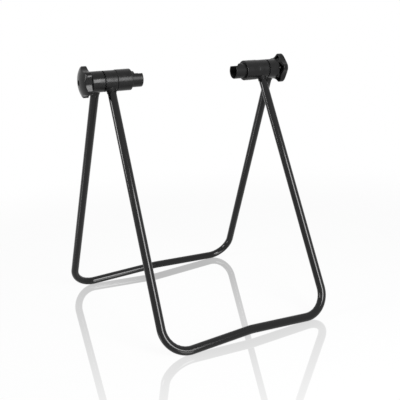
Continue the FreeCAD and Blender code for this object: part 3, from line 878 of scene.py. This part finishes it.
def new_group(name, inputs, outputs):
    """Empty node group with the sockets inside it. Inputs have their defaults, a colour's being a
    tuple. Outputs have their kind, float or tuple."""
    group = bpy.data.node_groups.new(name, "ShaderNodeTree")
    kinds = {float: "NodeSocketFloat", tuple: "NodeSocketColor"}
    for socket, value in inputs.items():
        kind = kinds[type(value)]
        made = group.interface.new_socket(name=socket, in_out="INPUT", socket_type=kind)
        made.default_value = value
    for socket, kind in outputs.items():
        group.interface.new_socket(name=socket, in_out="OUTPUT", socket_type=kinds[kind])
    given, out = group.nodes.new("NodeGroupInput"), group.nodes.new("NodeGroupOutput")
    return group, given.outputs, out.inputs


def grain_group():
    """Fine two-sized grain of a moulded or sprayed surface, as a height."""
    name = "fine_grain"
    if name in bpy.data.node_groups:
        return bpy.data.node_groups[name]
    group, given, out = new_group(name, {"Scale": 1500.0, "Coarse": 0.35}, {"Height": float})
    where = add_node(group, "ShaderNodeTexCoord").outputs["Object"]
    fine = noise(group, where, given["Scale"], 2.0, 0.6)
    broad = noise(group, where, maths(group, "MULTIPLY", given["Scale"], BROAD_GRAIN), 1.0)
    mixed = add_node(group, "ShaderNodeMix", inputs={0: given["Coarse"], 2: fine, 3: broad})
    group.links.new(mixed.outputs[0], out["Height"])
    return group


def handling_group():
    """Roughness that wanders over a surface and falls where edges are rubbed."""
    name = "handled_roughness"
    if name in bpy.data.node_groups:
        return bpy.data.node_groups[name]
    group, given, out = new_group(
        name, {"Roughness": 0.4, "Wander": 0.05, "Scale": 60.0, "Rubbed": 0.08},
        {"Roughness": float, "Worn": float})
    where = add_node(group, "ShaderNodeTexCoord").outputs["Object"]
    cloud = noise(group, where, given["Scale"], 4.0, 0.55)
    wear = add_node(group, "ShaderNodeAttribute", {"attribute_name": "wear"}).outputs["Fac"]
    worn = maths(group, "MULTIPLY", wear, cloud)
    swing = maths(group, "SUBTRACT", cloud, 0.5)
    wandered = maths(group, "MULTIPLY_ADD", swing, given["Wander"], given["Roughness"])
    rubbed = maths(group, "MULTIPLY", worn, given["Rubbed"])
    group.links.new(maths(group, "SUBTRACT", wandered, rubbed, clamp=True), out["Roughness"])
    group.links.new(worn, out["Worn"])
    return group


def dust_group():
    """Faint dust on upward faces and paler rubbed edges, over a base colour."""
    name = "dust_and_edges"
    if name in bpy.data.node_groups:
        return bpy.data.node_groups[name]
    group, given, out = new_group(
        name, {"Color": (0.02, 0.02, 0.02, 1.0), "Dust": 0.02, "Worn": 0.0, "Edge": 0.03},
        {"Color": tuple})
    where = add_node(group, "ShaderNodeTexCoord").outputs
    upright = add_node(group, "ShaderNodeSeparateXYZ", inputs={0: where["Normal"]}).outputs["Z"]
    specks = ramp(group, noise(group, where["Object"], 420.0, 6.0, 0.7), 0.50, 0.75)
    lying = maths(group, "MULTIPLY", specks, ramp(group, upright, 0.2, 1.0))
    dust = maths(group, "MULTIPLY", lying, given["Dust"])
    edge = maths(group, "MULTIPLY", given["Worn"], given["Edge"])
    rubbed = colour_mix(group, edge, given["Color"], RUBBED_COLOUR)
    group.links.new(colour_mix(group, dust, rubbed, DUST_COLOUR), out["Color"])
    return group


def finished_material(name, base, roughness, wander, grain_scale, grain, coarse=0.35, dust=0.02,
                      edge=0.03, wander_scale=60.0, settings=None):
    """Material with fine grain, handled roughness, dust and rubbed edges round one shader."""
    if name in bpy.data.materials:
        return bpy.data.materials[name]
    material = bpy.data.materials.new(name)
    material.use_nodes = True
    tree = material.node_tree
    shader = tree.nodes["Principled BSDF"]
    for key, value in (settings or {}).items():
        shader.inputs[key].default_value = value

    def grouped(group, **inputs):
        return add_node(tree, "ShaderNodeGroup", {"node_tree": group}, inputs).outputs

    handled = grouped(handling_group(), Roughness=roughness, Wander=wander, Scale=wander_scale)
    dusted = grouped(dust_group(), Color=(*base, 1.0), Dust=dust, Worn=handled["Worn"], Edge=edge)
    grained = grouped(grain_group(), Scale=grain_scale, Coarse=coarse)
    bump = add_node(tree, "ShaderNodeBump", inputs={
        "Strength": grain, "Distance": GRAIN_HEIGHT, "Height": grained["Height"]})
    tree.links.new(handled["Roughness"], shader.inputs["Roughness"])
    tree.links.new(dusted["Color"], shader.inputs["Base Color"])
    tree.links.new(bump.outputs["Normal"], shader.inputs["Normal"])
    return material


def gloss_paint(tube):
    """Gloss black paint with a shallow broad unevenness."""
    return finished_material("gloss_black_paint", tube.paint, roughness=0.13, wander=0.02,
                             grain_scale=300.0, grain=0.02, coarse=0.6, dust=0.012, wander_scale=35.0,
                             settings={"Specular IOR Level": PAINT_SPECULAR})


def grained_plastic(name, base, roughness, wander, grain_scale, grain, wander_scale=60.0):
    """Black moulded plastic with a fine grain."""
    return finished_material(name, base, roughness, wander, grain_scale, grain,
                             wander_scale=wander_scale,
                             settings={"Specular IOR Level": PLASTIC_SPECULAR})


def plain_metal(name, base, roughness, grain_scale):
    """Bright or darkened steel with a fine machined grain."""
    return finished_material(name, base, roughness, wander=0.10, grain_scale=grain_scale, grain=0.25,
                             coarse=0.2, dust=0.0, edge=0.0, settings={"Metallic": 1.0})


class STAND_OT_small_parts(bpy.types.Operator):
    """Finish the pins, bushes, washers, rings, nuts and screws of the CAD model"""

    bl_idname = "display_stand.small_parts"
    bl_label = "Small Parts"

    def execute(self, context):
        zinc = plain_metal("bright_zinc", (0.55, 0.56, 0.58), roughness=0.32, grain_scale=2600.0)
        spring = plain_metal("oiled_spring_steel", (0.16, 0.16, 0.18), roughness=0.38,
                             grain_scale=2200.0)
        black = finished_material("blackened_steel", (0.018, 0.018, 0.018), roughness=0.38,
                                  wander=0.08, grain_scale=2000.0, grain=0.2)
        acetal = grained_plastic("dark_acetal", (0.045, 0.045, 0.046), roughness=0.42, wander=0.05,
                                 grain_scale=1600.0, grain=0.15)
        finishes = {"_hinge_bush": zinc, "_flat_washer": zinc, "_retaining_ring": spring,
                    "_cup_nut": zinc, "_spindle": zinc, "_thrust_washer": acetal,
                    "_knob_screw": black}
        chosen = {name + end: finish for name in SIDES for end, finish in finishes.items()}
        chosen.update({"front_leg_pins": zinc, "rear_leg_pins": zinc})
        for node, finish in chosen.items():
            materials = frame["nodes"][node].data.materials
            materials.clear()
            materials.append(finish)
        return {"FINISHED"}


# Stage

WATTS = 4.0                 # for a radiance of 1 from a lamp of one square metre
LAMP_AIM = (0.0, 0.0, 0.2)
FLOOR_RINGS = (0.25, 0.5, 1.0, 2.0, 4.0)
FLOOR_COLUMNS = 64
SHADOW_FADE = (0.35, 1.3)   # metres from the stand's middle
POLISH_SPOT = (0.05, 0.15, 0.0)
POLISH_FADE = (0.05, 0.60)  # metres from the spot
FAR_POLISH = 0.05


def seen_rays(tree):
    """Socket that is 1 for camera, glossy and transmission rays, and 0 for the others."""
    path = add_node(tree, "ShaderNodeLightPath").outputs
    return maths(tree, "MAXIMUM", path["Is Transmission Ray"],
                 maths(tree, "MAXIMUM", path["Is Camera Ray"], path["Is Glossy Ray"]))


def shader_mix(tree, share, first, second):
    """Shader between two others."""
    return add_node(tree, "ShaderNodeMixShader", inputs={0: share, 1: first, 2: second}).outputs[0]


def floor_material(studio):
    """White polished floor. The camera, gloss and glass see white with the stand's shadow and its
    reflection; other rays pass through to the lower half of the room. The shadow fades out around
    the stand, and the polish around a spot behind its middle."""
    material = bpy.data.materials.new("polished_white_floor")
    material.use_nodes = True
    tree = material.node_tree
    tree.nodes.clear()
    where = add_node(tree, "ShaderNodeTexCoord").outputs["Object"]
    far = add_node(tree, "ShaderNodeVectorMath", {"operation": "LENGTH"}, {0: where})
    behind = add_node(tree, "ShaderNodeVectorMath", {"operation": "DISTANCE"},
                      {0: where, 1: POLISH_SPOT})
    glow = ramp(tree, far.outputs["Value"], *SHADOW_FADE, studio.floor_glow, 1.0, smooth=True)
    polish = ramp(tree, behind.outputs["Value"], *POLISH_FADE, studio.floor_gloss, FAR_POLISH)
    matt = add_node(tree, "ShaderNodeBsdfDiffuse", inputs={"Color": (0.95, 0.95, 0.95, 1.0)})
    white = add_node(tree, "ShaderNodeEmission", inputs={"Color": WHITE, "Strength": 1.0})
    mirror = add_node(tree, "ShaderNodeBsdfGlossy", inputs={"Color": WHITE, "Roughness": 0.0})
    clear = add_node(tree, "ShaderNodeBsdfTransparent")
    plain = shader_mix(tree, glow, matt.outputs[0], white.outputs[0])
    polished = shader_mix(tree, polish, plain, mirror.outputs[0])
    choice = shader_mix(tree, seen_rays(tree), clear.outputs[0], polished)
    add_node(tree, "ShaderNodeOutputMaterial", inputs={"Surface": choice})
    return material


def room_world(studio):
    """White room for the camera, gloss and glass, and an even fill for plain surfaces."""
    world = bpy.data.worlds.new("white_room")
    world.use_nodes = True
    tree = world.node_tree
    tree.nodes.clear()
    strength = ramp(tree, seen_rays(tree), 0.0, 1.0, studio.room_fill, 1.0)
    background = add_node(tree, "ShaderNodeBackground", inputs={"Color": WHITE, "Strength": strength})
    add_node(tree, "ShaderNodeOutputWorld", inputs={"Surface": background.outputs[0]})
    return world


def add_lamp(name, azimuth, elevation, distance, width, height, radiance):
    """Rectangular lamp that faces the stand. Azimuth is in degrees from the front to the right."""
    azimuth, elevation = math.radians(azimuth), math.radians(elevation)
    way = Vector((math.sin(azimuth) * math.cos(elevation), -math.cos(azimuth) * math.cos(elevation),
                  math.sin(elevation)))
    light = bpy.data.lights.new(name, "AREA")
    light.shape = "RECTANGLE"
    light.size = width
    light.size_y = height
    light.energy = radiance * WATTS * width * height
    lamp = bpy.data.objects.new(name, light)
    lamp.matrix_world = (Matrix.Translation(Vector(LAMP_AIM) + way * distance)
                         @ way.to_track_quat("Z", "Y").to_matrix().to_4x4())
    bpy.context.scene.collection.objects.link(lamp)


def add_camera(studio):
    """Camera that looks from its place to its aim, rolled about that line."""
    here = Vector(studio.camera)
    forward = (Vector(studio.aim) - here).normalized()
    level = forward.cross(Vector((0, 0, 1))).normalized()
    upright = level.cross(forward)
    right = level * math.cos(studio.roll) + upright * math.sin(studio.roll)
    up = upright * math.cos(studio.roll) - level * math.sin(studio.roll)
    data = bpy.data.cameras.new("camera")
    data.lens = studio.lens
    data.sensor_width = 36.0
    data.clip_start = 0.01
    camera = bpy.data.objects.new("camera", data)
    turn = Matrix((right, up, -forward)).transposed().to_4x4()
    camera.matrix_world = Matrix.Translation(here) @ turn
    bpy.context.scene.collection.objects.link(camera)
    bpy.context.scene.camera = camera


class STAND_OT_studio(bpy.types.Operator):
    """Set up the floor, the lamps, the room and the camera"""

    bl_idname = "display_stand.studio"
    bl_label = "Studio"

    def execute(self, context):
        studio = context.scene.display_stand.studio
        turn = np.linspace(0, 2 * math.pi, FLOOR_COLUMNS, endpoint=False)[None]
        radius = np.array([*FLOOR_RINGS, studio.floor_radius])[:, None]
        disc = radius[..., None] * np.stack([np.cos(turn), np.sin(turn), 0 * turn], axis=-1)
        points = np.concatenate([[[0.0, 0.0, 0.0]], disc.reshape(-1, 3)])
        quads = grid_faces(len(radius), FLOOR_COLUMNS, close_rows=False) + 1
        column = np.arange(FLOOR_COLUMNS)
        fan = np.stack([0 * column, column + 1, (column + 1) % FLOOR_COLUMNS + 1], axis=1)
        mesh = bpy.data.meshes.new("floor_form")
        mesh.from_pydata(points.tolist(), [], fan.tolist() + quads[:, ::-1].tolist())
        mesh.materials.append(floor_material(studio))
        floor = bpy.data.objects.new("floor", mesh)
        context.scene.collection.objects.link(floor)
        context.scene.world = room_world(studio)
        add_lamp("key_lamp", azimuth=5.3, elevation=15.5, distance=1.36, width=0.56, height=0.80,
                 radiance=studio.key)
        add_lamp("side_lamp", azimuth=-98.0, elevation=20.0, distance=1.5, width=0.34, height=0.54,
                 radiance=studio.edge)
        add_camera(studio)
        context.scene.view_settings.view_transform = "Standard"
        return {"FINISHED"}


# Add-on

OPERATORS = (STAND_OT_frame_tubes, STAND_OT_collars, STAND_OT_sleeves, STAND_OT_axle_cups,
             STAND_OT_knobs, STAND_OT_small_parts, STAND_OT_studio)


class STAND_PT_panel(bpy.types.Panel):
    """Steps that build the stand, and its settings"""

    bl_idname = "STAND_PT_panel"
    bl_label = "Display Stand"
    bl_space_type = "VIEW_3D"
    bl_region_type = "UI"
    bl_category = "Display Stand"

    def draw(self, context):
        layout = self.layout
        for step in OPERATORS:
            layout.operator(step.bl_idname)
        stand = context.scene.display_stand
        for group in (stand.tube, stand.hub, stand.cup, stand.knob, stand.studio):
            box = layout.box()
            for setting in group.bl_rna.properties:
                if not setting.is_readonly and setting.identifier != "name":
                    box.prop(group, setting.identifier)


CLASSES = (TubeSettings, HubSettings, CupSettings, KnobSettings, StudioSettings, StandSettings,
           *OPERATORS, STAND_PT_panel)


def register():
    """Adds the classes and the settings to Blender."""
    for item in CLASSES:
        bpy.utils.register_class(item)
    bpy.types.Scene.display_stand = PointerProperty(type=StandSettings)


def unregister():
    """Takes the classes and the settings out again."""
    del bpy.types.Scene.display_stand
    for item in reversed(CLASSES):
        bpy.utils.unregister_class(item)


def main():
    """Builds everything in order."""
    register()
    for step in OPERATORS:
        family, name = step.bl_idname.split(".")
        getattr(getattr(bpy.ops, family), name)()


if __name__ == "__main__":
    main()
